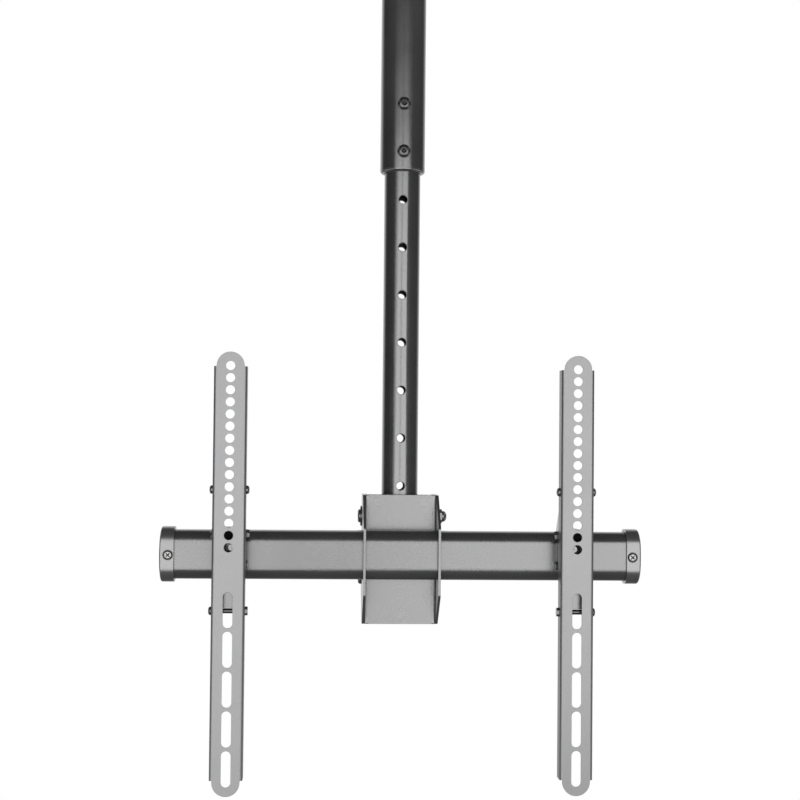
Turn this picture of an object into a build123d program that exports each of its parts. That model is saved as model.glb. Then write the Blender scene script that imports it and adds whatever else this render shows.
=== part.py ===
from build123d import *
import os
from math import cos, radians, sin

# Ceiling-hung telescopic pole with a tilting head, a cross bar and two screen arms.
# Millimetres. The origin is the middle of the face that lies against the ceiling,
# Z points up, and the screen side faces -Y.

# Fits and clearances
running = 0.05
sliding = 0.3
bolt_clearance = 0.2

# Ceiling plate and swivel socket
plate_side = 150.0
plate_thickness = 5.0
plate_corner = 14.0
anchor_spacing = 112.0
anchor_diameter = 9.0
socket_flange_diameter = 96.0
socket_flange_thickness = 5.0
socket_wall = 5.0
socket_depth = 72.0
socket_rim_chamfer = 1.2
socket_flange_round = 1.5
plate_edge_chamfer = 1.0
bolt_chamber_diameter = 36.0
bolt_chamber_depth = 12.0
partition_thickness = 6.0
socket_screw_circle = 76.0
socket_screw_diameter = 5.0
socket_screw_head = 9.5
socket_screw_head_height = 2.7
socket_screw_short_by = 0.6
thrust_washer_diameter = 40.0
thrust_washer_thickness = 2.0
swivel_bolt_diameter = 12.0
swivel_head_flats = 18.0
swivel_head_height = 7.5
swivel_washer_diameter = 24.0
swivel_washer_thickness = 2.5
swivel_nut_height = 10.0
swivel_bolt_past_nut = 2.0
plug_thickness = 8.0

# Telescopic pole
outer_diameter = 47.4
outer_wall = 2.2
outer_length = 448.0
pole_play = 2.5
inner_wall = 2.0
index_pitch = 50.0
index_hole_diameter = 9.0
lower_bolt_above_rim = 17.0
inner_top_above_upper_bolt = 42.0
holes_below_lower_bolt = 7
guide_bush_length = 11.0
guide_flange = 3.2
guide_flange_round = 2.8
top_bush_length = 20.0
tube_edge_round = 0.3

# Pole bolts
pole_bolt_diameter = 8.0
pole_head_diameter = 13.6
pole_head_height = 4.4
pole_washer_diameter = 16.0
pole_washer_thickness = 1.6
pole_nut_flats = 13.0
pole_nut_height = 7.5
pole_bolt_past_nut = 2.9
large_key = 5.0
medium_key = 4.0
small_key = 3.0
pinch_key = 2.0

# Tilt pivot and its lock
pivot_below_lowest_hole = 32.0
tube_end_below_pivot = 14.0
pivot_diameter = 8.0
lock_below_pivot = 65.0
lock_behind_pivot = 6.0
tilt_up = 5.0
tilt_down = 15.0
pivot_head_diameter = 14.0
pivot_head_height = 2.6
pivot_washer_diameter = 21.0
pivot_washer_thickness = 1.8
dome_nut_flats = 13.0
dome_nut_hex = 3.6
dome_nut_height = 8.6
dome_nut_step = 0.6
dome_nut_wall = 1.5
dome_nut_land = 0.4
lock_head_height = 3.6
lock_nut_height = 3.8
sleeve_diameter = 12.0

# Pole foot
foot_sheet = 3.0
foot_bend = 5.0
foot_leg_stub = 10.0
foot_tail_radius = 3.0
foot_tail_inset = 5.0
foot_boss_radius = 16.0
foot_lobe_radius = 7.0
foot_web_up = 22.0
foot_web_down = 29.0
spacer_diameter = 14.0

# Head channel and side cheeks
channel_width = 73.6
channel_height = 133.2
channel_sheet = 2.5
channel_bend = 4.0
channel_corner = 6.0
channel_back = 20.0
channel_above_pivot = 23.0
web_front = 27.0
channel_taper_height = 32.0
channel_taper_depth = 26.0
cheek_sheet = 2.5
cheek_back = 16.0
cheek_reach = 7.0
cheek_slope_top = 32.5
cheek_slope_bottom = 31.5
cheek_corner = 4.0

# Cross bar and end caps
bar_height = 50.0
bar_depth = 30.0
bar_corner = 13.0
bar_wall = 2.0
bar_below_pivot = 38.0
bar_length = 484.0
cap_wall = 3.0
cap_end_wall = 2.8
cap_width = 14.6
cap_dome_radius = 300.0
cap_edge_round = 1.6
cap_screw_from_end = 8.8
cap_screw_diameter = 4.0
cap_head_diameter = 8.2
cap_head_height = 2.6
cap_sink_diameter = 10.4
cap_sink_depth = 1.6
cap_screw_length = 12.0
cap_head_round = 1.2
recess_span = 5.0
recess_width = 1.1
recess_depth = 1.5
bar_screw_diameter = 6.0
bar_screw_head = 10.5
bar_screw_head_height = 3.3
bar_screw_spacing = 30.0
bar_screw_length = 14.0

# Screen arms
arm_from_bar_end = 68.5
arm_width = 33.0
arm_depth = 17.0
arm_sheet = 1.8
arm_bend = 3.0
arm_length = 438.0
arm_flange_top_gap = 14.4
arm_flange_bottom_gap = 15.6
arm_front_ahead_of_bar = 36.0
arm_top_above_bar = 203.6
arm_hole_diameter = 9.2
arm_hole_pitch = 12.0
arm_hole_count = 16
arm_tip_radius = 13.8
arm_slot_length = 35.6
arm_slot_width = 9.6
arm_slot_pitch = 39.0
arm_slot_count = 5

# Arm bracket and bar clamp
bracket_sheet = 2.5
bracket_bend = 4.0
bracket_web_setback = 10.0
bracket_web_above_bar = 3.0
bracket_web_height = 53.6
ear_top_above_bar = 74.5
ear_gap = 1.0
ear_chamfer = 3.0
ear_back_drop = 13.5
ear_front_drop = 26.5
plate_corner_round = 4.0
mouth_short_of_middle = 3.0
jaw_below_pinch = 7.0
jaw_slope = 2.0
bracket_past_flange = 1.5
side_screw_above_bar = 66.8
side_screw_setback = 9.0
clamp_bolt_above_bar = 21.2
clamp_bolt_ahead = 10.0
pinch_bolt_below_bar = 9.1
pinch_eye_radius = 4.5
pinch_eye_bite = 1.5
clamp_eye_radius = 6.5
clamp_slit_height = 8.4
clamp_boss_diameter = 8.0
clamp_boss_height = 5.5
clamp_strip = 3.0
clamp_width = 14.0
stop_bolt_setback = 11.0
stop_gap = 0.3

# Bolts and nuts of the arms
side_screw_diameter = 5.0
side_head_diameter = 8.6
side_head_height = 3.2
side_nut_flats = 8.0
side_nut_height = 4.0
side_screw_past_sheet = 5.0
stop_bolt_diameter = 5.0
stop_nut_height = 2.8
clamp_bolt_diameter = 6.0
clamp_head_diameter = 12.4
clamp_head_height = 5.2
clamp_nut_flats = 10.0
clamp_nut_height = 5.2
pinch_bolt_diameter = 4.0
pinch_head_diameter = 7.2
pinch_head_height = 2.8
pinch_nut_flats = 7.0
pinch_nut_height = 3.2
head_round_share = 0.8
socket_share = 0.6
socket_tip_share = 0.45
socket_tip_depth_share = 0.2
socket_tip_taper = 59.0
nut_corner_share = 0.56
nut_corner_taper = 4.0

# Bores and offsets worked out from the sizes above
outer_bore = outer_diameter - 2 * outer_wall
inner_diameter = outer_bore - 2 * pole_play
arm_offset = bar_length / 2 - arm_from_bar_end

# Levels worked out from the sizes above
socket_bottom = -plate_thickness - socket_depth
partition_top = -plate_thickness - bolt_chamber_depth
partition_bottom = partition_top - partition_thickness
outer_top = partition_bottom - thrust_washer_thickness
outer_bottom = outer_top - outer_length
lower_bolt_level = outer_bottom + lower_bolt_above_rim
upper_bolt_level = lower_bolt_level + index_pitch
inner_top = upper_bolt_level + inner_top_above_upper_bolt
lowest_hole_level = lower_bolt_level - index_pitch * holes_below_lower_bolt
pivot_level = lowest_hole_level - pivot_below_lowest_hole
inner_bottom = pivot_level - tube_end_below_pivot
lock_level = pivot_level - lock_below_pivot
channel_top = pivot_level + channel_above_pivot
channel_bottom = channel_top - channel_height
bar_level = pivot_level - bar_below_pivot
bar_back_y = -web_front
bar_front_y = bar_back_y - bar_depth
bar_mid_y = (bar_back_y + bar_front_y) / 2
arm_front_y = bar_front_y - arm_front_ahead_of_bar
arm_top = bar_level + arm_top_above_bar
arm_bottom = arm_top - arm_length
arm_flange_top = arm_top - arm_flange_top_gap
arm_flange_bottom = arm_bottom + arm_flange_bottom_gap
first_hole_level = arm_top - arm_tip_radius
last_slot_level = arm_bottom + arm_tip_radius + (arm_slot_length - arm_slot_width) / 2
bracket_web_y = arm_front_y + bracket_web_setback
bracket_web_top = bar_level + bracket_web_above_bar
bracket_web_bottom = bracket_web_top - bracket_web_height
side_screw_y = arm_front_y + side_screw_setback
side_screw_level = bar_level + side_screw_above_bar
clamp_bolt_y = bar_front_y - clamp_bolt_ahead
clamp_bolt_level = bar_level + clamp_bolt_above_bar
pinch_bolt_y = bar_front_y - sliding - clamp_strip - pinch_eye_radius + pinch_eye_bite
pinch_bolt_level = bar_level - pinch_bolt_below_bar
stop_bolt_y = arm_front_y + stop_bolt_setback
stop_bolt_level = bracket_web_bottom - stop_gap - stop_bolt_diameter / 2

# Widths worked out from the sizes above
channel_inside = channel_width / 2 - channel_sheet
foot_outside = channel_inside - sliding
foot_inside = foot_outside - foot_sheet
cheek_outside = channel_width / 2 + cheek_sheet
bracket_outside = arm_width / 2 - arm_sheet - bolt_clearance
bracket_inside = bracket_outside - bracket_sheet

os.makedirs("parts", exist_ok=True)


def save(builder, node):
    """Label one finished piece and write it under its node name."""
    builder.part.label = node
    export_step(builder.part, f"parts/{node}.step")


def facing(x, y, z, direction):
    """Plane at a point whose normal is the way a screw head looks."""
    return Plane(origin=(x, y, z), z_dir=direction)


def channel_section(plane, width, depth, sheet, bend):
    """Folded U section with its web on local y = 0 and its legs along local +y."""
    half = width / 2
    with BuildSketch(plane) as section:
        with BuildLine():
            outside = FilletPolyline((-half, depth), (-half, 0), (half, 0), (half, depth), radius=bend)
            inside = FilletPolyline(
                (sheet - half, depth),
                (sheet - half, sheet),
                (half - sheet, sheet),
                (half - sheet, depth),
                radius=bend - sheet,
            )
            Line(outside @ 0, inside @ 0)
            Line(outside @ 1, inside @ 1)
        make_face()
    return section.sketch


def bar_outline(plane, grow):
    """Rounded bar section, larger all round by grow, on a plane across the bar."""
    with BuildSketch(plane) as outline:
        with Locations((bar_mid_y, bar_level)):
            RectangleRounded(bar_depth + 2 * grow, bar_height + 2 * grow, bar_corner + grow)
    return outline.sketch


def button_bolt(seat, shank, length, head, height, socket):
    """Button-head bolt whose head sits on the seat plane, with a hexagon socket."""
    with BuildPart() as bolt:
        with BuildSketch(seat):
            Circle(head / 2)
        extrude(amount=height)
        crown = bolt.edges().filter_by(GeomType.CIRCLE).sort_by(Axis(seat.origin, seat.z_dir))[-1]
        flat_left = head / 2 - 0.6 * socket - bolt_clearance
        fillet(crown, min(height * head_round_share, flat_left))
        with BuildSketch(seat.offset(height)):
            RegularPolygon(socket / 2, 6, major_radius=False)
        extrude(amount=-height * socket_share, mode=Mode.SUBTRACT)
        with BuildSketch(seat.offset(height * (1 - socket_share))):
            Circle(socket * socket_tip_share)
        extrude(amount=-socket * socket_tip_depth_share, taper=socket_tip_taper, mode=Mode.SUBTRACT)
        with BuildSketch(seat):
            Circle(shank / 2)
        extrude(amount=-length)
    return bolt.part


def ring(seat, outside, bore, thickness):
    """Flat washer, spacer or sleeve that starts on the seat plane."""
    with BuildPart() as washer:
        with BuildSketch(seat):
            Circle(outside / 2)
            Circle(bore / 2, mode=Mode.SUBTRACT)
        extrude(amount=thickness)
    return washer.part


def hex_nut(seat, flats, bore, height):
    """Hexagon nut that starts on the seat plane, with its outer corners eased."""
    with BuildPart() as nut:
        with BuildSketch(seat):
            RegularPolygon(flats / 2, 6, major_radius=False)
        extrude(amount=height)
        with BuildSketch(seat):
            Circle(flats * nut_corner_share)
        extrude(amount=height, taper=nut_corner_taper, mode=Mode.INTERSECT)
        with BuildSketch(seat):
            Circle(bore / 2)
        extrude(amount=height, mode=Mode.SUBTRACT)
    return nut.part


# Ceiling plate
with BuildPart() as ceiling_plate:
    with BuildSketch(Plane.XY.offset(-plate_thickness)):
        RectangleRounded(plate_side, plate_side, plate_corner)
        with GridLocations(anchor_spacing, anchor_spacing, 2, 2):
            Circle(anchor_diameter / 2, mode=Mode.SUBTRACT)
        with PolarLocations(socket_screw_circle / 2, 4):
            Circle(socket_screw_diameter / 2, mode=Mode.SUBTRACT)
    extrude(amount=plate_thickness)
    chamfer(ceiling_plate.faces().sort_by(Axis.Z)[0].outer_wire().edges(), plate_edge_chamfer)
save(ceiling_plate, "ceiling_plate")

# Turned socket under the plate, with the chamber for the swivel bolt's head
with BuildPart() as ceiling_socket:
    with BuildSketch(Plane.XZ):
        with BuildLine():
            Polyline(
                (bolt_chamber_diameter / 2, -plate_thickness),
                (socket_flange_diameter / 2, -plate_thickness),
                (socket_flange_diameter / 2, -plate_thickness - socket_flange_thickness),
                (outer_diameter / 2 + sliding + socket_wall, -plate_thickness - socket_flange_thickness),
                (outer_diameter / 2 + sliding + socket_wall, socket_bottom),
                (outer_diameter / 2 + sliding, socket_bottom),
                (outer_diameter / 2 + sliding, partition_bottom),
                (swivel_bolt_diameter / 2 + bolt_clearance, partition_bottom),
                (swivel_bolt_diameter / 2 + bolt_clearance, partition_top),
                (bolt_chamber_diameter / 2, partition_top),
                close=True,
            )
        make_face()
    revolve(axis=Axis.Z)
    rims = ceiling_socket.edges().filter_by(GeomType.CIRCLE).group_by(Axis.Z)
    chamfer(rims[0].sort_by(SortBy.LENGTH)[-1], socket_rim_chamfer)
    fillet(rims[-2].sort_by(SortBy.LENGTH)[-1], socket_flange_round)
    with BuildSketch(Plane.XY.offset(-plate_thickness)):
        with PolarLocations(socket_screw_circle / 2, 4):
            Circle(socket_screw_diameter / 2 + bolt_clearance)
    extrude(amount=-socket_flange_thickness, mode=Mode.SUBTRACT)
save(ceiling_socket, "ceiling_socket")

# Screws that hold the socket to the plate
with BuildPart() as socket_screws:
    screw_seat = -plate_thickness - socket_flange_thickness
    screw_length = socket_flange_thickness + plate_thickness - socket_screw_short_by
    for spot in PolarLocations(socket_screw_circle / 2, 4):
        seat = facing(spot.position.X, spot.position.Y, screw_seat, (0, 0, -1))
        add(
            button_bolt(
                seat,
                socket_screw_diameter,
                screw_length,
                socket_screw_head,
                socket_screw_head_height,
                small_key,
            )
        )
save(socket_screws, "socket_screws")

# Swivel bolt, hung from the partition with its thread downwards
swivel_nut_seat = outer_top - plug_thickness - swivel_washer_thickness
with BuildPart() as swivel_bolt:
    with BuildSketch(Plane.XY.offset(partition_top)):
        RegularPolygon(swivel_head_flats / 2, 6, major_radius=False)
    extrude(amount=swivel_head_height)
    with BuildSketch(Plane.XY.offset(partition_top)):
        Circle(swivel_bolt_diameter / 2)
    extrude(amount=swivel_nut_seat - swivel_nut_height - swivel_bolt_past_nut - partition_top)
save(swivel_bolt, "swivel_bolt")

with BuildPart() as thrust_washer:
    thrust_seat = facing(0, 0, partition_bottom, (0, 0, -1))
    swivel_hole = swivel_bolt_diameter + 2 * bolt_clearance
    add(ring(thrust_seat, thrust_washer_diameter, swivel_hole, thrust_washer_thickness))
save(thrust_washer, "thrust_washer")

with BuildPart() as swivel_washer:
    under_plug = facing(0, 0, outer_top - plug_thickness, (0, 0, -1))
    add(ring(under_plug, swivel_washer_diameter, swivel_hole, swivel_washer_thickness))
save(swivel_washer, "swivel_washer")

with BuildPart() as swivel_nut:
    under_washer = facing(0, 0, swivel_nut_seat, (0, 0, -1))
    add(hex_nut(under_washer, swivel_head_flats, swivel_bolt_diameter, swivel_nut_height))
save(swivel_nut, "swivel_nut")

# Outer tube with its two bolt holes right through
with BuildPart() as outer_tube:
    with BuildSketch(Plane.XY.offset(outer_bottom)):
        Circle(outer_diameter / 2)
        Circle(outer_bore / 2, mode=Mode.SUBTRACT)
    extrude(amount=outer_length)
    fillet(outer_tube.edges().filter_by(GeomType.CIRCLE).group_by(Axis.Z)[0], tube_edge_round)
    with BuildSketch(Plane.XZ):
        with Locations((0, lower_bolt_level), (0, upper_bolt_level)):
            Circle(index_hole_diameter / 2)
    extrude(amount=outer_diameter, both=True, mode=Mode.SUBTRACT)
save(outer_tube, "outer_tube")

# Plug welded in the tube's top, which turns on the swivel bolt
with BuildPart() as tube_plug:
    plug_seat = facing(0, 0, outer_top, (0, 0, -1))
    add(ring(plug_seat, outer_bore, swivel_bolt_diameter + 2 * running, plug_thickness))
save(tube_plug, "tube_plug")

# Plastic bush in the outer tube's mouth, with a rounded flange under the tube's end
with BuildPart() as guide_bush:
    with BuildSketch(Plane.XY.offset(outer_bottom)):
        Circle(outer_bore / 2)
    extrude(amount=guide_bush_length)
    with BuildSketch(Plane.XY.offset(outer_bottom)):
        Circle(outer_diameter / 2)
    extrude(amount=-guide_flange)
    fillet(guide_bush.edges().filter_by(GeomType.CIRCLE).group_by(Axis.Z)[0], guide_flange_round)
    with BuildSketch(Plane.XY.offset(outer_bottom - guide_flange)):
        Circle(inner_diameter / 2 + sliding)
    extrude(amount=guide_flange + guide_bush_length, mode=Mode.SUBTRACT)
save(guide_bush, "guide_bush")

# Through bolts of the pole, with washers and nuts at the back
pole_bolt_length = outer_diameter + pole_washer_thickness + pole_nut_height + pole_bolt_past_nut
with BuildPart() as pole_bolts:
    for level in (lower_bolt_level, upper_bolt_level):
        front = facing(0, -outer_diameter / 2, level, (0, -1, 0))
        add(
            button_bolt(
                front,
                pole_bolt_diameter,
                pole_bolt_length,
                pole_head_diameter,
                pole_head_height,
                large_key,
            )
        )
save(pole_bolts, "pole_bolts")

with BuildPart() as pole_washers:
    for level in (lower_bolt_level, upper_bolt_level):
        back = facing(0, outer_diameter / 2, level, (0, 1, 0))
        add(ring(back, pole_washer_diameter, pole_bolt_diameter + 2 * bolt_clearance, pole_washer_thickness))
save(pole_washers, "pole_washers")

with BuildPart() as pole_nuts:
    for level in (lower_bolt_level, upper_bolt_level):
        back = facing(0, outer_diameter / 2 + pole_washer_thickness, level, (0, 1, 0))
        add(hex_nut(back, pole_nut_flats, pole_bolt_diameter, pole_nut_height))
save(pole_nuts, "pole_nuts")

# Inner tube with the row of index holes and the pivot hole
index_levels = [upper_bolt_level - index_pitch * step for step in range(holes_below_lower_bolt + 2)]
with BuildPart() as inner_tube:
    with BuildSketch(Plane.XY.offset(inner_bottom)):
        Circle(inner_diameter / 2)
        Circle(inner_diameter / 2 - inner_wall, mode=Mode.SUBTRACT)
    extrude(amount=inner_top - inner_bottom)
    with BuildSketch(Plane.XZ):
        with Locations([(0, level) for level in index_levels]):
            Circle(index_hole_diameter / 2)
    extrude(amount=inner_diameter, both=True, mode=Mode.SUBTRACT)
    with BuildSketch(Plane.YZ):
        with Locations((0, pivot_level)):
            Circle(pivot_diameter / 2 + running)
    extrude(amount=inner_diameter, both=True, mode=Mode.SUBTRACT)
save(inner_tube, "inner_tube")

# Plastic bush on the inner tube's top, which runs in the outer tube
with BuildPart() as top_bush:
    with BuildSketch(Plane.XY.offset(inner_top - top_bush_length)):
        Circle(outer_bore / 2 - sliding)
        Circle(inner_diameter / 2, mode=Mode.SUBTRACT)
    extrude(amount=top_bush_length)
save(top_bush, "top_bush")

# Foot welded behind the inner tube, with the two curved tilt slots
lock_radius = (lock_below_pivot**2 + lock_behind_pivot**2) ** 0.5
lock_angle = Vector(lock_behind_pivot, lock_below_pivot, 0).get_angle(Vector(0, 1, 0))


def on_lock_arc(turn):
    """Point on the lock bolt's path in the foot when the head is tilted by turn degrees."""
    swing = radians(lock_angle + turn)
    return (lock_radius * sin(swing), pivot_level - lock_radius * cos(swing))


with BuildPart() as pole_foot:
    foot_back_y = inner_diameter / 2 + foot_sheet
    web_plane = Plane(origin=(0, foot_back_y, pivot_level - foot_web_down), x_dir=(-1, 0, 0))
    extrude(
        channel_section(web_plane, 2 * foot_outside, foot_leg_stub, foot_sheet, foot_bend),
        amount=foot_web_up + foot_web_down,
    )
    for side in (-1, 1):
        with BuildSketch(Plane.YZ.offset(side * foot_inside)):
            with Locations((0, pivot_level)):
                Circle(foot_boss_radius)
            with Locations(on_lock_arc(-tilt_up), on_lock_arc(tilt_down)):
                Circle(foot_lobe_radius)
            with Locations(
                (inner_diameter / 2 - foot_tail_inset, pivot_level + foot_web_up - foot_tail_radius),
                (inner_diameter / 2 - foot_tail_inset, pivot_level - foot_web_down + foot_tail_radius),
            ):
                Circle(foot_tail_radius)
            make_hull()
        extrude(amount=side * foot_sheet)
    with BuildSketch(Plane.YZ):
        with Locations((0, pivot_level)):
            Circle(pivot_diameter / 2 + running)
        with BuildLine():
            slot_middle = on_lock_arc((tilt_down - tilt_up) / 2)
            path = ThreePointArc(on_lock_arc(-tilt_up), slot_middle, on_lock_arc(tilt_down))
        SlotArc(path, pivot_diameter + 2 * bolt_clearance)
    extrude(amount=channel_width / 2, both=True, mode=Mode.SUBTRACT)
save(pole_foot, "pole_foot")

with BuildPart() as pivot_spacers:
    for side in (-1, 1):
        seat = facing(side * inner_diameter / 2, 0, pivot_level, (side, 0, 0))
        add(ring(seat, spacer_diameter, pivot_diameter + 2 * running, foot_inside - inner_diameter / 2))
save(pivot_spacers, "pivot_spacers")

# Head channel: one folded sheet, web to the front, side walls to the back
with BuildPart() as head_channel:
    base = Plane(origin=(0, -web_front, channel_bottom))
    extrude(
        channel_section(base, channel_width, web_front + channel_back, channel_sheet, channel_bend),
        amount=channel_height,
    )
    with BuildSketch(Plane.YZ):
        with BuildLine():
            FilletPolyline(
                (-web_front, channel_bottom),
                (channel_back - channel_taper_depth, channel_bottom),
                (channel_back, channel_bottom + channel_taper_height),
                (channel_back, channel_top),
                (-web_front, channel_top),
                radius=channel_corner,
            )
            Line((-web_front, channel_top), (-web_front, channel_bottom))
        make_face()
    extrude(amount=channel_width, both=True, mode=Mode.INTERSECT)
    with BuildSketch(Plane.YZ):
        with Locations((0, pivot_level), (lock_behind_pivot, lock_level)):
            Circle(pivot_diameter / 2 + bolt_clearance)
    extrude(amount=channel_width, both=True, mode=Mode.SUBTRACT)
    with BuildSketch(Plane.XZ.offset(web_front - channel_sheet)):
        with Locations((-bar_screw_spacing / 2, bar_level), (bar_screw_spacing / 2, bar_level)):
            Circle(bar_screw_diameter / 2 + bolt_clearance)
    extrude(amount=channel_sheet, mode=Mode.SUBTRACT)
save(head_channel, "head_channel")

# Side cheeks that carry the bar in front of the channel
for side, node in ((-1, "cheek_left"), (1, "cheek_right")):
    with BuildPart() as cheek:
        with BuildSketch(Plane.YZ.offset(side * channel_width / 2)):
            with BuildLine():
                FilletPolyline(
                    (-web_front, channel_top),
                    (bar_front_y - cheek_reach, channel_top - cheek_slope_top),
                    (bar_front_y - cheek_reach, channel_bottom + cheek_slope_bottom),
                    (-web_front, channel_bottom),
                    (cheek_back - channel_taper_depth, channel_bottom),
                    (cheek_back, channel_bottom + channel_taper_height),
                    (cheek_back, channel_top),
                    radius=cheek_corner,
                    close=True,
                )
            make_face()
            with Locations((bar_mid_y, bar_level)):
                RectangleRounded(bar_depth, bar_height, bar_corner, mode=Mode.SUBTRACT)
            with Locations((0, pivot_level), (lock_behind_pivot, lock_level)):
                Circle(pivot_diameter / 2 + bolt_clearance, mode=Mode.SUBTRACT)
        extrude(amount=side * cheek_sheet)
    save(cheek, node)

# Pivot bolt, head on the left and domed nut on the right
with BuildPart() as pivot_bolt:
    left_seat = facing(-cheek_outside - pivot_washer_thickness, 0, pivot_level, (-1, 0, 0))
    pivot_length = 2 * (cheek_outside + pivot_washer_thickness) + dome_nut_height - dome_nut_wall
    add(
        button_bolt(
            left_seat,
            pivot_diameter,
            pivot_length,
            pivot_head_diameter,
            pivot_head_height,
            large_key,
        )
    )
save(pivot_bolt, "pivot_bolt")

with BuildPart() as pivot_washers:
    for side in (-1, 1):
        seat = facing(side * cheek_outside, 0, pivot_level, (side, 0, 0))
        add(ring(seat, pivot_washer_diameter, pivot_diameter + 2 * bolt_clearance, pivot_washer_thickness))
save(pivot_washers, "pivot_washers")

with BuildPart() as pivot_nut:
    right_seat = facing(cheek_outside + pivot_washer_thickness, 0, pivot_level, (1, 0, 0))
    with BuildSketch(right_seat):
        RegularPolygon(dome_nut_flats / 2, 6, major_radius=False)
    extrude(amount=dome_nut_hex)
    with BuildSketch(right_seat):
        Circle(dome_nut_flats / 2 - dome_nut_step)
    extrude(amount=dome_nut_height)
    dome_edge = pivot_nut.edges().filter_by(GeomType.CIRCLE).sort_by(Axis.X)[-1]
    fillet(dome_edge, dome_nut_height - dome_nut_hex - dome_nut_land)
    with BuildSketch(right_seat):
        Circle(pivot_diameter / 2)
    extrude(amount=dome_nut_height - dome_nut_wall, mode=Mode.SUBTRACT)
save(pivot_nut, "pivot_nut")

# Tilt lock bolt through both curved slots, its sleeve and its thin nut
with BuildPart() as tilt_lock_bolt:
    seat = facing(-cheek_outside, lock_behind_pivot, lock_level, (-1, 0, 0))
    lock_length = 2 * cheek_outside + lock_nut_height
    add(button_bolt(seat, pivot_diameter, lock_length, pivot_head_diameter, lock_head_height, large_key))
save(tilt_lock_bolt, "tilt_lock_bolt")

with BuildPart() as tilt_lock_nut:
    seat = facing(cheek_outside, lock_behind_pivot, lock_level, (1, 0, 0))
    add(hex_nut(seat, pole_nut_flats, pivot_diameter, lock_nut_height))
save(tilt_lock_nut, "tilt_lock_nut")

with BuildPart() as tilt_lock_sleeve:
    seat = facing(running - foot_inside, lock_behind_pivot, lock_level, (1, 0, 0))
    add(ring(seat, sleeve_diameter, pivot_diameter + 2 * running, 2 * (foot_inside - running)))
save(tilt_lock_sleeve, "tilt_lock_sleeve")

# Cross bar: rounded hollow section
cap_screw_x = bar_length / 2 - cap_screw_from_end + cap_end_wall
with BuildPart() as cross_bar:
    extrude(bar_outline(Plane.YZ.offset(-bar_length / 2), 0), amount=bar_length)
    extrude(bar_outline(Plane.YZ.offset(-bar_length / 2), -bar_wall), amount=bar_length, mode=Mode.SUBTRACT)
    with BuildSketch(Plane.XZ.offset(-bar_back_y)):
        with Locations((-bar_screw_spacing / 2, bar_level), (bar_screw_spacing / 2, bar_level)):
            Circle(bar_screw_diameter / 2)
    extrude(amount=bar_wall, mode=Mode.SUBTRACT)
    with BuildSketch(Plane.XZ.offset(-bar_front_y)):
        with Locations((-cap_screw_x, bar_level), (cap_screw_x, bar_level)):
            Circle(cap_screw_diameter / 2)
    extrude(amount=-bar_wall, mode=Mode.SUBTRACT)
save(cross_bar, "cross_bar")

with BuildPart() as bar_screws:
    for side in (-1, 1):
        seat = facing(side * bar_screw_spacing / 2, channel_sheet - web_front, bar_level, (0, 1, 0))
        add(
            button_bolt(
                seat,
                bar_screw_diameter,
                bar_screw_length,
                bar_screw_head,
                bar_screw_head_height,
                medium_key,
            )
        )
save(bar_screws, "bar_screws")

# Moulded caps over the bar's ends, slightly domed outwards
cap_outer_x = bar_length / 2 + cap_end_wall
for side, node in ((-1, "end_cap_left"), (1, "end_cap_right")):
    with BuildPart() as cap:
        inner_x = cap_outer_x - cap_width
        extrude(bar_outline(Plane.YZ.offset(side * inner_x), cap_wall), amount=side * cap_width)
        with BuildSketch(Plane.XZ):
            with Locations((side * (cap_outer_x - cap_dome_radius), bar_level)):
                Circle(cap_dome_radius)
        extrude(amount=bar_depth * 3, both=True, mode=Mode.INTERSECT)
        fillet(cap.faces().sort_by(Axis.X)[-1 if side > 0 else 0].outer_wire().edges(), cap_edge_round)
        cap_pocket = side * (cap_width - cap_end_wall)
        extrude(bar_outline(Plane.YZ.offset(side * inner_x), 0), amount=cap_pocket, mode=Mode.SUBTRACT)
        with BuildSketch(Plane.XZ.offset(cap_wall - bar_front_y)):
            with Locations((side * cap_screw_x, bar_level)):
                Circle(cap_sink_diameter / 2)
        extrude(amount=-cap_sink_depth, mode=Mode.SUBTRACT)
        with BuildSketch(Plane.XZ.offset(cap_wall - bar_front_y)):
            with Locations((side * cap_screw_x, bar_level)):
                Circle(cap_screw_diameter / 2 + bolt_clearance)
        extrude(amount=-cap_wall, mode=Mode.SUBTRACT)
    save(cap, node)

# Cross-recessed screws that hold the caps
cap_seat_y = bar_front_y - cap_wall + cap_sink_depth
with BuildPart() as cap_screws:
    for side in (-1, 1):
        seat = facing(side * cap_screw_x, cap_seat_y, bar_level, (0, -1, 0))
        with BuildSketch(seat):
            Circle(cap_head_diameter / 2)
        extrude(amount=cap_head_height)
        with BuildSketch(seat):
            Circle(cap_screw_diameter / 2)
        extrude(amount=-cap_screw_length)
    fillet(cap_screws.edges().filter_by(GeomType.CIRCLE).group_by(Axis.Y)[0], cap_head_round)
    with BuildSketch(Plane.XZ.offset(cap_head_height - cap_seat_y)):
        with Locations((-cap_screw_x, bar_level), (cap_screw_x, bar_level)):
            Rectangle(recess_span, recess_width, rotation=45)
            Rectangle(recess_span, recess_width, rotation=-45)
    extrude(amount=-recess_depth, mode=Mode.SUBTRACT)
save(cap_screws, "cap_screws")


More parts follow.
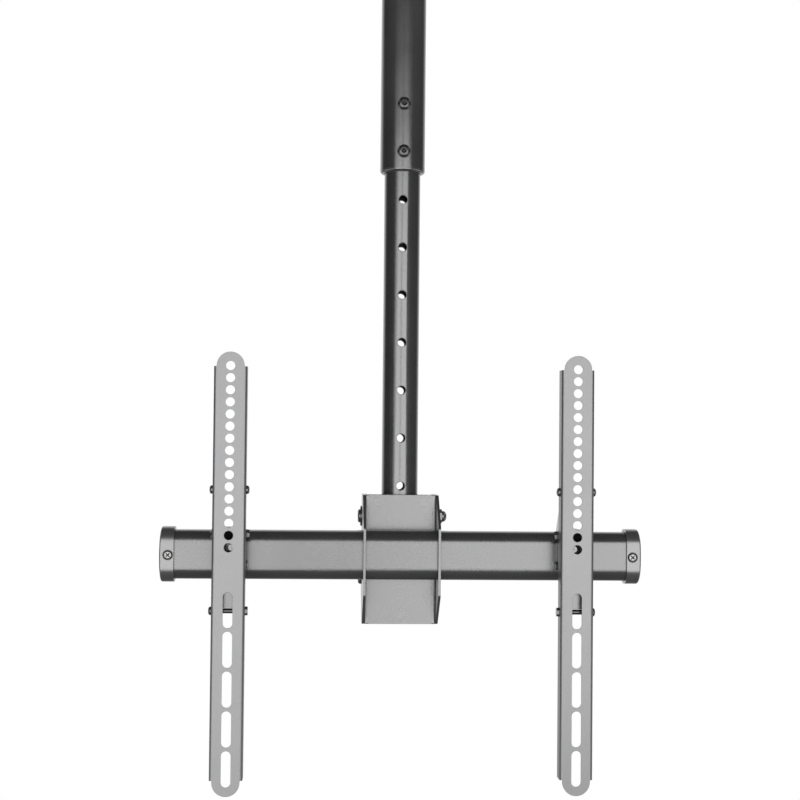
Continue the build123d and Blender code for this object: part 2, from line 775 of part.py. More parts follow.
def side_plate_outline(plane):
    """Bracket side wall: a forward ear at the top, a slope, and a mouth that fits the bar."""
    mouth_top = bar_level + bar_height / 2 + sliding
    mouth_front = bar_front_y - sliding
    neck_y = bracket_web_y + bracket_bend
    ear_front_y = arm_front_y + arm_sheet + ear_gap
    ear_top = bar_level + ear_top_above_bar
    jaw_y = bar_mid_y - mouth_short_of_middle
    jaw_level = pinch_bolt_level - jaw_below_pinch
    with BuildSketch(plane) as outline:
        with BuildLine():
            Polyline(
                (ear_front_y, ear_top),
                (arm_front_y + arm_depth - ear_chamfer, ear_top),
                (arm_front_y + arm_depth, ear_top - ear_back_drop),
                (jaw_y, mouth_top),
                (jaw_y, jaw_level),
                (neck_y, jaw_level - jaw_slope),
                (neck_y, bracket_web_top),
                (ear_front_y, ear_top - ear_front_drop),
                close=True,
            )
        make_face()
        fillet(outline.vertices().group_by(Axis.Y)[-1], plate_corner_round)
        with Locations((side_screw_y, side_screw_level)):
            Circle(side_screw_diameter / 2 + bolt_clearance, mode=Mode.SUBTRACT)
        with Locations((clamp_bolt_y, clamp_bolt_level)):
            Circle(clamp_bolt_diameter / 2 + bolt_clearance, mode=Mode.SUBTRACT)
        with Locations((pinch_bolt_y, pinch_bolt_level)):
            Circle(pinch_bolt_diameter / 2 + bolt_clearance, mode=Mode.SUBTRACT)
    return outline.sketch


# Each screen arm with its bracket, bar clamp and bolts
for side, name in ((-1, "left"), (1, "right")):
    middle = side * arm_offset

    hole_spots = [(middle, first_hole_level - arm_hole_pitch * step) for step in range(arm_hole_count)]
    slot_spots = [(middle, last_slot_level + arm_slot_pitch * step) for step in range(arm_slot_count)]
    with BuildPart() as arm:
        arm_base = Plane(origin=(middle, arm_front_y, arm_flange_bottom))
        extrude(
            channel_section(arm_base, arm_width, arm_depth, arm_sheet, arm_bend),
            amount=arm_flange_top - arm_flange_bottom,
        )
        with BuildSketch(Plane.XZ.offset(-arm_front_y)):
            with Locations((middle, (arm_top + arm_bottom) / 2)):
                SlotOverall(arm_length, 2 * arm_tip_radius, rotation=90)
        extrude(amount=-arm_sheet)
        with BuildSketch(Plane.XZ.offset(-arm_front_y)):
            with Locations(hole_spots):
                Circle(arm_hole_diameter / 2)
            with Locations(slot_spots):
                SlotOverall(arm_slot_length, arm_slot_width, rotation=90)
        extrude(amount=-arm_sheet, mode=Mode.SUBTRACT)
        with BuildSketch(Plane.YZ.offset(middle)):
            with Locations((side_screw_y, side_screw_level)):
                Circle(side_screw_diameter / 2 + bolt_clearance)
            with Locations((stop_bolt_y, stop_bolt_level)):
                Circle(stop_bolt_diameter / 2 + bolt_clearance)
        extrude(amount=arm_width, both=True, mode=Mode.SUBTRACT)
    save(arm, f"arm_{name}")

    with BuildPart() as bracket:
        for wall in (-1, 1):
            plate = side_plate_outline(Plane.YZ.offset(middle + wall * bracket_inside))
            extrude(plate, amount=wall * bracket_sheet)
        extrude(
            channel_section(
                Plane(origin=(middle, bracket_web_y, bracket_web_bottom)),
                2 * bracket_outside,
                arm_front_y + arm_depth + bracket_past_flange - bracket_web_y,
                bracket_sheet,
                bracket_bend,
            ),
            amount=bracket_web_height,
        )
        bar_passage = bar_outline(Plane.YZ.offset(middle - arm_width), sliding)
        extrude(bar_passage, amount=2 * arm_width, mode=Mode.SUBTRACT)
    save(bracket, f"bracket_{name}")

    with BuildPart() as clamp:
        strip = clamp_strip + sliding
        extrude(bar_outline(Plane.YZ.offset(middle - clamp_width / 2), strip), amount=clamp_width)
        with BuildSketch(Plane.YZ.offset(middle - clamp_width / 2)):
            tongue_level = bar_level + bar_height / 2 + strip - clamp_strip / 2
            with Locations(((clamp_bolt_y + bar_mid_y) / 2, tongue_level)):
                Rectangle(bar_mid_y - clamp_bolt_y, clamp_strip)
        extrude(amount=clamp_width)
        with BuildSketch(Plane.YZ.offset(middle - bracket_inside + bolt_clearance)):
            with Locations((clamp_bolt_y, clamp_bolt_level)):
                Circle(clamp_eye_radius)
            with Locations((pinch_bolt_y, pinch_bolt_level)):
                Circle(pinch_eye_radius)
        extrude(amount=2 * (bracket_inside - bolt_clearance))
        with BuildSketch(Plane.XZ.offset(-bar_front_y)):
            with Locations(hole_spots[-1]):
                Circle(clamp_boss_diameter / 2)
        extrude(amount=strip + clamp_boss_height)
        bar_passage = bar_outline(Plane.YZ.offset(middle - arm_width), sliding)
        extrude(bar_passage, amount=2 * arm_width, mode=Mode.SUBTRACT)
        with BuildSketch(Plane.YZ.offset(middle - arm_width)):
            with Locations((bar_front_y - strip / 2, bar_level)):
                Rectangle(strip + bolt_clearance, clamp_slit_height)
            with Locations((clamp_bolt_y, clamp_bolt_level)):
                Circle(clamp_bolt_diameter / 2 + bolt_clearance)
            with Locations((pinch_bolt_y, pinch_bolt_level)):
                Circle(pinch_bolt_diameter / 2 + bolt_clearance)
        extrude(amount=2 * arm_width, mode=Mode.SUBTRACT)
    save(clamp, f"bar_clamp_{name}")

    with BuildPart() as side_screws:
        for wall in (-1, 1):
            seat = facing(middle + wall * arm_width / 2, side_screw_y, side_screw_level, (wall, 0, 0))
            reach = arm_sheet + bracket_sheet + side_screw_past_sheet
            side_head = (side_head_diameter, side_head_height, small_key)
            add(button_bolt(seat, side_screw_diameter, reach, *side_head))
    save(side_screws, f"side_screws_{name}")

    with BuildPart() as side_nuts:
        for wall in (-1, 1):
            seat = facing(middle + wall * bracket_inside, side_screw_y, side_screw_level, (-wall, 0, 0))
            add(hex_nut(seat, side_nut_flats, side_screw_diameter, side_nut_height))
    save(side_nuts, f"side_nuts_{name}")

    with BuildPart() as clamp_bolt:
        seat = facing(middle + side * bracket_outside, clamp_bolt_y, clamp_bolt_level, (side, 0, 0))
        reach = 2 * bracket_outside + clamp_nut_height
        clamp_head = (clamp_head_diameter, clamp_head_height, medium_key)
        add(button_bolt(seat, clamp_bolt_diameter, reach, *clamp_head))
    save(clamp_bolt, f"clamp_bolt_{name}")

    with BuildPart() as clamp_nut:
        seat = facing(middle - side * bracket_outside, clamp_bolt_y, clamp_bolt_level, (-side, 0, 0))
        add(hex_nut(seat, clamp_nut_flats, clamp_bolt_diameter, clamp_nut_height))
    save(clamp_nut, f"clamp_nut_{name}")

    with BuildPart() as pinch_bolt:
        seat = facing(middle + side * bracket_outside, pinch_bolt_y, pinch_bolt_level, (side, 0, 0))
        reach = 2 * bracket_outside + pinch_nut_height
        pinch_head = (pinch_head_diameter, pinch_head_height, pinch_key)
        add(button_bolt(seat, pinch_bolt_diameter, reach, *pinch_head))
    save(pinch_bolt, f"pinch_bolt_{name}")

    with BuildPart() as pinch_nut:
        seat = facing(middle - side * bracket_outside, pinch_bolt_y, pinch_bolt_level, (-side, 0, 0))
        add(hex_nut(seat, pinch_nut_flats, pinch_bolt_diameter, pinch_nut_height))
    save(pinch_nut, f"pinch_nut_{name}")

    with BuildPart() as stop_bolt:
        seat = facing(middle + side * arm_width / 2, stop_bolt_y, stop_bolt_level, (side, 0, 0))
        reach = arm_width + stop_nut_height
        add(button_bolt(seat, stop_bolt_diameter, reach, side_head_diameter, side_head_height, small_key))
    save(stop_bolt, f"stop_bolt_{name}")

    with BuildPart() as stop_nut:
        seat = facing(middle - side * arm_width / 2, stop_bolt_y, stop_bolt_level, (-side, 0, 0))
        add(hex_nut(seat, side_nut_flats, stop_bolt_diameter, stop_nut_height))
    save(stop_nut, f"stop_nut_{name}")
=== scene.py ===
"""Finishes, small details, lights and camera for the telescopic screen mount."""

import logging
import math
from collections.abc import Sequence
from dataclasses import dataclass, field
from enum import Enum

import bmesh
import bpy
import numpy as np
from mathutils import Matrix, Vector

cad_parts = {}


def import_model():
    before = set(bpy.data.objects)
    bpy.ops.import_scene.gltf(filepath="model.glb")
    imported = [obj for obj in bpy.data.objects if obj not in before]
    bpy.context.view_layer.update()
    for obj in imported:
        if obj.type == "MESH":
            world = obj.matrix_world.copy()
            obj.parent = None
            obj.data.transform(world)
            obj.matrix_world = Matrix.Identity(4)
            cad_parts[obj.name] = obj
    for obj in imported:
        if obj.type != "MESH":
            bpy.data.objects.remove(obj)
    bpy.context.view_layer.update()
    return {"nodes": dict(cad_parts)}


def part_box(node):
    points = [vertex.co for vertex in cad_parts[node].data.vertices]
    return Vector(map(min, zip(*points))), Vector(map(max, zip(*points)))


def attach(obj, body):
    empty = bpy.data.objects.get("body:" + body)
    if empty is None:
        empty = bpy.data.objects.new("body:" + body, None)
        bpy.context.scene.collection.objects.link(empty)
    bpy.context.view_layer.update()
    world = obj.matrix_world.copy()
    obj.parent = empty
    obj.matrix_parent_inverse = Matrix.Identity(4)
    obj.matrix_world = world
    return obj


LOG = logging.getLogger("screen_mount")
MM = 0.001
Number = "Value | float"


class Axis(Enum):
    """Direction of a bolt, as the index of its coordinate."""

    X = 0
    Y = 1
    Z = 2


class Side(Enum):
    """The two screen arms, with the sign of their X."""

    LEFT = -1
    RIGHT = 1

    @property
    def word(self) -> str:
        """The side's name as the nodes carry it."""
        return self.name.lower()


class Value:
    """A shader socket that takes part in arithmetic."""

    def __init__(self, graph: "Graph", socket: bpy.types.NodeSocket) -> None:
        """Keep the graph that the socket belongs to."""
        self.graph = graph
        self.socket = socket

    def _with(self, operation: str, first: Number, second: Number) -> "Value":
        """Add one Math node.

        Args:
            operation: the node's operation.
            first: its first operand.
            second: its second operand.

        Returns:
            The node's result.
        """
        return self.graph.value("ShaderNodeMath", {"operation": operation}, {0: first, 1: second})

    def __add__(self, other: Number) -> "Value":
        """Sum."""
        return self._with("ADD", self, other)

    __radd__ = __add__

    def __mul__(self, other: Number) -> "Value":
        """Product."""
        return self._with("MULTIPLY", self, other)

    __rmul__ = __mul__

    def __sub__(self, other: Number) -> "Value":
        """Difference."""
        return self._with("SUBTRACT", self, other)

    def __rsub__(self, other: Number) -> "Value":
        """Difference with the socket second."""
        return self._with("SUBTRACT", other, self)

    def at_least(self, other: Number) -> "Value":
        """The larger of the two."""
        return self._with("MAXIMUM", self, other)

    def ramp(self, low: float, high: float) -> "Value":
        """Rise smoothly from 0 at low to 1 at high."""
        settings = {"interpolation_type": "SMOOTHSTEP"}
        return self.graph.value("ShaderNodeMapRange", settings, {0: self, 1: low, 2: high})


class Graph:
    """Node tree of one material or of the world."""

    def __init__(self, tree: bpy.types.NodeTree) -> None:
        """Start from an empty tree."""
        self.tree = tree
        tree.nodes.clear()

    def node(self, kind: str, settings: dict | None = None, inputs: dict | None = None) -> bpy.types.Node:
        """Add a node.

        Args:
            kind: the node's type.
            settings: attributes, which are set first.
            inputs: values or links of its sockets, by name or number.

        Returns:
            The new node.
        """
        made = self.tree.nodes.new(kind)
        for name, setting in (settings or {}).items():
            setattr(made, name, setting)
        for key, given in (inputs or {}).items():
            if isinstance(given, Value):
                self.tree.links.new(given.socket, made.inputs[key])
            elif isinstance(given, bpy.types.NodeSocket):
                self.tree.links.new(given, made.inputs[key])
            else:
                made.inputs[key].default_value = given
        return made

    def value(
        self,
        kind: str,
        settings: dict | None = None,
        inputs: dict | None = None,
        output: int | str = 0,
    ) -> Value:
        """Add a node and return one of its outputs, ready for arithmetic."""
        return Value(self, self.node(kind, settings, inputs).outputs[output])

    def vectors(self, operation: str, first: Value, second: "Value | Sequence[float]") -> Value:
        """Add one Vector Math node of two operands whose result is a vector."""
        other = second if isinstance(second, Value) else tuple(second)
        return self.value("ShaderNodeVectorMath", {"operation": operation}, {0: first, 1: other})

    def place(self, stretch: Sequence[float] = (1, 1, 1)) -> Value:
        """Object coordinates in metres, multiplied by a stretch along each axis."""
        spot = self.value("ShaderNodeTexCoord", None, None, "Object")
        return self.vectors("MULTIPLY", spot, stretch)

    def split(self, vector: Value) -> tuple[Value, Value, Value]:
        """The three coordinates of a vector."""
        parts = self.node("ShaderNodeSeparateXYZ", None, {0: vector})
        return tuple(Value(self, output) for output in parts.outputs)

    def noise(self, per_metre: float, detail: float, stretch: Sequence[float] = (1, 1, 1)) -> Value:
        """Smooth noise around 0.5, with per_metre features in a metre."""
        inputs = {"Vector": self.place(stretch), "Scale": per_metre, "Detail": detail}
        return self.value("ShaderNodeTexNoise", None, inputs)

    def blend(self, factor: Number, first: "Value | Sequence[float]", second: Sequence[float]) -> Value:
        """Mix two colours.

        Args:
            factor: share of the second colour.
            first: a colour, or a socket that gives one.
            second: the other colour.

        Returns:
            The mixed colour.
        """
        start = first if isinstance(first, Value) else (*first, 1.0)
        inputs = {0: factor, 6: start, 7: (*second, 1.0)}
        return self.value("ShaderNodeMix", {"data_type": "RGBA"}, inputs, 2)


@dataclass(frozen=True)
class Coating:
    """A coated, plated or moulded surface with speckle, fine grain, worn edges and painted shade.

    Attributes:
        name: the material's name.
        slot: name of a material slot; not used.
        colour: the usual colour.
        speckle: the colour of the darker specks.
        edge: the colour along outer edges.
        metallic: share of metal in the gloss.
        roughness: usual roughness.
        uneven: how far the roughness wanders.
        grain_per_metre: how fine the coat's grain is.
        cloud_per_metre: how fine its slow changes of tone are.
        lines_per_metre: how close the lines left by rolling lie.
        grain_height: height of the grain in metres.
        edge_radius: rounding of the edges in metres, shown by light alone.
        draw: stretch of the faint lines left by rolling, 1 along their direction.
        draw_share: how strong these lines are.
        recess_reach: how near other surfaces must be for painted shade in a recess, in metres.
        recess_from: how closed in a place must be before the painted shade starts, 0 open and 1 closed.
        recess_alone: whether only the piece's own surfaces count for that.
        recess: colour of the painted shade deep in recesses.
        side_shade: how far faces that look sideways fall to the recess colour, as painted shade.
    """

    name: str
    slot: str
    colour: tuple[float, float, float]
    speckle: tuple[float, float, float]
    edge: tuple[float, float, float]
    metallic: float
    roughness: float
    uneven: float = 0.05
    grain_per_metre: float = 1400.0
    cloud_per_metre: float = 22.0
    lines_per_metre: float = 900.0
    grain_height: float = 0.00002
    edge_radius: float = 0.0004
    draw: tuple[float, float, float] = (1.0, 1.0, 1.0)
    draw_share: float = 0.0
    recess_reach: float = 0.0015
    recess_from: float = 0.2
    recess_alone: bool = False
    recess: tuple[float, float, float] = (0.05, 0.05, 0.05)
    side_shade: float = 0.0

    def wear(self, graph: Graph, soft: Value, cloud: Value) -> Value:
        """Share of wear, where the rounded normal leaves the flat one along an edge.

        Args:
            graph: the material's tree.
            soft: the normal with rounded edges.
            cloud: slow noise that breaks the wear up.

        Returns:
            0 on whole faces and up to 1 along edges.
        """
        flat = graph.value("ShaderNodeNewGeometry", None, None, "Normal")
        operands = {0: soft, 1: flat}
        same = graph.value("ShaderNodeVectorMath", {"operation": "DOT_PRODUCT"}, operands, "Value")
        return (1 - same).ramp(0.02, 0.3) * cloud.ramp(0.3, 0.75)

    def depth(self, graph: Graph) -> Value:
        """Share of painted shade in recesses, from how closed in the surface is.

        Args:
            graph: the material's tree.

        Returns:
            0 in the open and 1 deep in a recess.
        """
        settings = {"samples": 6, "only_local": self.recess_alone}
        reach = {"Distance": self.recess_reach}
        inside = graph.value("ShaderNodeAmbientOcclusion", settings, reach, "AO")
        return (1 - inside).ramp(self.recess_from, self.recess_from * 0.6 + 0.5)

    def painted_side_shade(self, graph: Graph) -> Value:
        """Share of painted shade on faces whose own normal points along X.

        Args:
            graph: the material's tree.

        Returns:
            The side_shade value on such faces and 0 on the others.
        """
        facing = graph.value("ShaderNodeTexCoord", None, None, "Normal")
        aside = graph.split(facing)[0]
        return (aside * aside).ramp(0.5, 0.95) * self.side_shade

    def material(self) -> bpy.types.Material:
        """Build the node tree.

        Returns:
            The material.
        """
        made = bpy.data.materials.new(self.name)
        made.use_nodes = True
        graph = Graph(made.node_tree)
        grain = graph.noise(self.grain_per_metre, 2.0)
        cloud = graph.noise(self.cloud_per_metre, 3.0)
        lines = graph.noise(self.lines_per_metre, 2.0, self.draw)
        soft = graph.value("ShaderNodeBevel", {"samples": 4}, {"Radius": self.edge_radius})
        # Painted shade: ambient occlusion darkens the colour in recesses and where parts meet.
        deep = self.depth(graph)
        specks = grain.ramp(0.52, 0.7) * 0.55 + (1 - cloud) * 0.3
        body = graph.blend(specks, self.colour, self.speckle)
        body = graph.blend(self.wear(graph, soft, cloud) * 0.6, body, self.edge)
        # Painted shade on faces that look sideways.
        if self.side_shade > 0:
            body = graph.blend(self.painted_side_shade(graph), body, self.recess)
        # Painted shade in recesses, towards the recess colour.
        body = graph.blend(deep, body, self.recess)
        wander = (cloud - 0.5) * self.uneven * 2 + (grain - 0.5) * self.uneven
        rough = self.roughness + deep * 0.3 + wander + (lines - 0.5) * self.draw_share
        relief = grain * (1 - self.draw_share) + lines * self.draw_share
        bump = {"Strength": 0.6, "Distance": self.grain_height, "Height": relief, "Normal": soft}
        inputs = {
            "Base Color": body,
            "Metallic": self.metallic,
            "Roughness": rough,
            "Normal": graph.value("ShaderNodeBump", None, bump),
        }
        shader = graph.node("ShaderNodeBsdfPrincipled", None, inputs)
        graph.node("ShaderNodeOutputMaterial", None, {"Surface": shader.outputs[0]})
        return made


class Finish(Enum):
    """Every finish of the mount."""

    TUBE = Coating(
        "tube_coat",
        "tube_paint",
        (0.36, 0.36, 0.363),
        (0.25, 0.25, 0.252),
        (0.5, 0.5, 0.5),
        0.92,
        0.23,
        draw=(1.0, 1.0, 0.004),
        draw_share=0.03,
    )
    SHEET = Coating(
        "sheet_coat",
        "sheet_paint",
        (0.395, 0.395, 0.398),
        (0.3, 0.3, 0.302),
        (0.55, 0.55, 0.55),
        0.92,
        0.28,
    )
    # ARM and BAR are copies of the sheet paint, in one slot with SHEET: the arm's colour is lighter and
    # the bar's darker, painted light and shade for how brightly each part is lit.
    ARM = Coating(
        "arm_coat",
        "sheet_paint",
        (0.475, 0.475, 0.478),
        (0.365, 0.365, 0.367),
        (0.6, 0.6, 0.6),
        0.92,
        0.4,
        # Painted shade: the arm's recesses and sideways faces fall towards this near-black.
        recess=(0.02, 0.02, 0.02),
        side_shade=0.45,
    )
    BAR = Coating(
        "sheet_coat_shaded_bar",
        "sheet_paint",
        (0.362, 0.362, 0.365),
        (0.27, 0.27, 0.272),
        (0.5, 0.5, 0.5),
        0.92,
        0.27,
        draw=(0.004, 1.0, 1.0),
        draw_share=0.02,
    )
    PLASTIC = Coating(
        "moulded_cap",
        "black_plastic",
        (0.45, 0.45, 0.453),
        (0.33, 0.33, 0.332),
        (0.5, 0.5, 0.5),
        0.9,
        0.31,
        uneven=0.08,
        grain_per_metre=900.0,
        grain_height=0.00006,
    )
    NYLON = Coating(
        "nylon",
        "nylon",
        (0.7, 0.69, 0.65),
        (0.6, 0.59, 0.55),
        (0.78, 0.77, 0.73),
        0.0,
        0.45,
        grain_per_metre=600.0,
    )
    DETAIL = Coating(
        "detail_coat",
        "sheet_paint",
        (0.4, 0.4, 0.403),
        (0.31, 0.31, 0.312),
        (0.46, 0.46, 0.46),
        0.92,
        0.27,
        edge_radius=0.00002,
        recess_alone=True,
    )
    BLACK = Coating(
        "black_oxide",
        "black_steel",
        (0.32, 0.32, 0.322),
        (0.2, 0.2, 0.202),
        (0.45, 0.45, 0.45),
        0.92,
        0.24,
        grain_per_metre=2500.0,
        edge_radius=0.0002,
        # Painted shade: the wide reach turns these bolts almost black deep inside the brackets and near
        # the bar.
        recess_reach=0.03,
        recess_from=0.6,
        recess=(0.006, 0.006, 0.006),
    )
    # Painted shade: the sleeve's near-black colour stands in for the shade inside the brackets.
    SLEEVE = Coating(
        "bolt_sleeve",
        "black_plastic",
        (0.014, 0.014, 0.014),
        (0.008, 0.008, 0.008),
        (0.03, 0.03, 0.03),
        0.0,
        0.6,
        grain_per_metre=900.0,
    )
    BOLT = Coating(
        "black_bolt",
        "black_steel",
        (0.22, 0.22, 0.222),
        (0.12, 0.12, 0.121),
        (0.45, 0.45, 0.45),
        0.92,
        0.22,
        grain_per_metre=2500.0,
        edge_radius=0.0002,
        recess_reach=0.001,
    )
    PLATED = Coating(
        "zinc_plate",
        "plated_steel",
        (0.56, 0.56, 0.545),
        (0.4, 0.4, 0.39),
        (0.7, 0.7, 0.68),
        1.0,
        0.28,
        grain_per_metre=2500.0,
        edge_radius=0.0002,
        # Painted shade: small recesses such as the screws' cross recesses fall almost to black.
        recess_reach=0.003,
        recess_from=0.05,
        recess=(0.004, 0.004, 0.004),
    )


class Paintshop:
    """Makes each finish once and puts it on nodes and pieces."""

    def __init__(self) -> None:
        """Start with no material made."""
        self.made: dict[Finish, bpy.types.Material] = {}

    def material(self, finish: Finish) -> bpy.types.Material:
        """Look up a finish's material, and make it the first time.

        Args:
            finish: the finish.

        Returns:
            Its material.
        """
        if finish not in self.made:
            self.made[finish] = finish.value.material()
        return self.made[finish]

    def coat(self, piece: bpy.types.Object, finish: Finish) -> None:
        """Put a finish on an object in place of what it has.

        Args:
            piece: a CAD node's object, which has slots, or a new piece, which has none.
            finish: the finish.
        """
        if piece.material_slots:
            for slot in piece.material_slots:
                slot.material = self.material(finish)
        else:
            piece.data.materials.append(self.material(finish))


@dataclass
class Patch:
    """One grid of points that becomes quads.

    Attributes:
        points: array of rows, columns and three coordinates.
        closed_rows: whether the last row joins the first.
        closed_columns: whether the last column joins the first.
    """

    points: np.ndarray
    closed_rows: bool = False
    closed_columns: bool = True

    def quads(self) -> np.ndarray:
        """Number the corners of each quad.

        Returns:
            Rows of four point numbers.
        """
        rows, columns = self.points.shape[:2]
        index = np.arange(rows * columns).reshape(rows, columns)
        if self.closed_rows:
            index = np.vstack([index, index[:1]])
        if self.closed_columns:
            index = np.hstack([index, index[:, :1]])
        corners = [index[:-1, :-1], index[:-1, 1:], index[1:, 1:], index[1:, :-1]]
        return np.stack(corners, axis=-1).reshape(-1, 4)


def full_turn(count: int) -> np.ndarray:
    """Evenly spaced angles of one turn, without the last, which is the first again."""
    return np.linspace(0, 2 * np.pi, count, endpoint=False)


def piece_of(
    name: str,
    patches: Sequence[Patch],
    finish: Finish,
    body: str,
    shop: Paintshop,
) -> bpy.types.Object:
    """Join patches into one smooth piece that rides on a body.

    Args:
        name: the piece's name.
        patches: its grids.
        finish: what it is coated with.
        body: the body that it moves with.
        shop: the maker of materials.

    Returns:
        The new object.
    """
    offsets = np.cumsum([0] + [patch.points.shape[0] * patch.points.shape[1] for patch in patches])
    points = np.concatenate([patch.points.reshape(-1, 3) for patch in patches])
    quads = np.concatenate([patch.quads() + offset for patch, offset in zip(patches, offsets)])
    mesh = bpy.data.meshes.new(name)
    mesh.from_pydata(points.tolist(), [], quads.tolist())
    shape = bmesh.new()
    shape.from_mesh(mesh)
    bmesh.ops.remove_doubles(shape, verts=shape.verts, dist=1e-7)
    bmesh.ops.recalc_face_normals(shape, faces=shape.faces)
    shape.to_mesh(mesh)
    shape.free()
    mesh.polygons.foreach_set("use_smooth", np.ones(len(mesh.polygons), dtype=bool))
    piece = bpy.data.objects.new(name, mesh)
    bpy.context.scene.collection.objects.link(piece)
    shop.coat(piece, finish)
    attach(piece, body)
    LOG.info("piece %s: %d points", name, len(mesh.vertices))
    return piece


def along(axis: Axis, around: np.ndarray, across: np.ndarray, depth: np.ndarray) -> np.ndarray:
    """Turn coordinates about a bolt into row coordinates.

    Args:
        axis: the bolt's direction.
        around: first coordinate across the bolt.
        across: second coordinate across the bolt.
        depth: coordinate along the bolt.

    Returns:
        Points with their coordinates in X, Y, Z order.
    """
    order = {
        Axis.X: (depth, around, across),
        Axis.Y: (across, depth, around),
        Axis.Z: (around, across, depth),
    }
    return np.stack(order[axis], axis=-1)


@dataclass
class Thread:
    """Visible end of a bolt's thread.

    Attributes:
        centre: a point on the bolt's axis, where the thread starts.
        axis: the bolt's direction.
        reach: signed length along the axis.
        radius: shank radius.
        pitch: distance between turns.
        proud: how far the crests stand out of the shank.
    """

    centre: tuple[float, float, float]
    axis: Axis
    reach: float
    radius: float
    pitch: float = 0.00125
    proud: float = 0.00016

    def patch(self) -> Patch:
        """Thread surface.

        The radius is the shank's plus a triangle wave of the depth divided by the pitch less the
        angle divided by a turn. The first and last rows drop inside the shank and join.

        Returns:
            A closed ring.
        """
        # Ten rows to each turn of the thread, and at least eight on a short end.
        rows = max(8, int(abs(self.reach) / self.pitch * 10))
        depth = np.concatenate([[0.0], np.linspace(0.0, 1.0, rows), [1.0]])[:, None] * self.reach
        turn = full_turn(40)[None, :]
        phase = (np.abs(depth) / self.pitch - turn / (2 * np.pi)) % 1.0
        crest = self.radius + self.proud * (1 - np.abs(2 * phase - 1))
        crest[0] = crest[-1] = self.radius * 0.9
        depth = np.broadcast_to(depth, crest.shape)
        points = along(self.axis, crest * np.cos(turn), crest * np.sin(turn), depth)
        return Patch(points + np.array(self.centre), closed_rows=True)


@dataclass
class WeldBead:
    """Rippled bead of weld metal along a line of points.

    Attributes:
        path: points along the joint.
        radius: half the bead's width.
        ripple: distance between two ripples.
    """

    path: np.ndarray
    radius: float
    ripple: float = 0.0016

    def patch(self) -> Patch:
        """Bead surface.

        A circle is carried along the path. Its radius swells by a tenth with the sine of the
        distance over the ripple length, and falls to nothing at both ends as a half circle does.

        Returns:
            A closed tube.
        """
        steps = np.linalg.norm(np.diff(self.path, axis=0), axis=1)
        run = np.concatenate([[0.0], np.cumsum(steps)])
        ahead = np.gradient(self.path, axis=0)
        ahead /= np.linalg.norm(ahead, axis=1, keepdims=True)
        side = np.cross(ahead, np.array([0.0, 0.0, 1.0]))
        side /= np.linalg.norm(side, axis=1, keepdims=True)
        above = np.cross(side, ahead)
        end = np.minimum(run, run[-1] - run) / (self.radius * 1.5)
        taper = np.sqrt(np.clip(1 - (1 - np.clip(end, 0, 1)) ** 2, 0, 1))
        size = self.radius * taper * (1 + 0.1 * np.sin(2 * np.pi * run / self.ripple))
        turn = full_turn(16)[None, :, None]
        ring = np.cos(turn) * side[:, None] + np.sin(turn) * above[:, None]
        return Patch(self.path[:, None] + size[:, None, None] * ring)


@dataclass
class HoleRim:
    """Lip that the coat builds up round a hole in a tube's wall.

    Attributes:
        level: height of the hole's centre.
        tube: tube radius.
        hole: hole radius.
        facing: -1 on the front wall and 1 on the back wall.
        lip: radius of the lip's section.
    """

    level: float
    tube: float
    hole: float
    facing: int
    lip: float = 0.00028

    def patch(self) -> Patch:
        """Ring surface.

        A small circle is carried round the hole. Its centre lies on the tube at the hole's edge,
        and its two directions are the way out of the hole and the tube's own normal.

        Returns:
            A ring closed both ways.
        """
        turn = full_turn(48)[:, None]
        small = full_turn(10)[None, :]
        reach = self.hole + self.lip * 0.5
        x = reach * np.cos(turn)
        z = reach * np.sin(turn)
        y = self.facing * np.sqrt(self.tube**2 - x**2)
        centre = np.stack([x, y, self.level + z], axis=-1)
        outward = np.stack([x, y, 0 * x], axis=-1) / self.tube
        away = np.stack([np.cos(turn), 0 * turn, np.sin(turn)], axis=-1)
        offset = np.cos(small)[..., None] * away + np.sin(small)[..., None] * outward
        return Patch(centre + self.lip * offset, closed_rows=True)


@dataclass
class WeldMark:
    """Faint round mark that a projection weld leaves on the front of a plate.

    Attributes:
        x: sideways place.
        z: height.
        face: Y of the plate's front face.
        radius: radius of the mark's ring.
        ring: height of the ring and half its width.
        middle: height of the bell at the centre and its radius.
        skin: how far the whole mark stands proud of the plate.
        root: how deep its back lies in the plate.
    """

    x: float
    z: float
    face: float
    radius: float = 0.0036
    ring: tuple[float, float] = (0.000022, 0.0006)
    middle: tuple[float, float] = (0.000012, 0.0012)
    skin: float = 0.00002
    root: float = 0.0009

    def patch(self) -> Patch:
        """Mark surface.

        The height over the plate is a bell round the ring's radius plus a low bell at the
        centre. The outer edge dips into the plate, and the back closes on itself.

        Returns:
            A closed disc of little thickness.
        """
        reach = np.linspace(0.0, self.radius * 1.35, 24)
        ring = self.ring[0] * np.exp(-(((reach - self.radius) / self.ring[1]) ** 2))
        middle = self.middle[0] * np.exp(-((reach / self.middle[1]) ** 2))
        height = ring + middle + self.skin
        height[-1] = -0.0001
        reach = np.append(reach, [reach[-1] * 0.98, 0.0])[:, None]
        height = np.append(height, [-self.root, -self.root])[:, None]
        turn = full_turn(40)[None, :]
        across = reach * np.cos(turn)
        y = self.face - np.broadcast_to(height, across.shape)
        return Patch(np.stack([self.x + across, y, self.z + reach * np.sin(turn)], axis=-1))


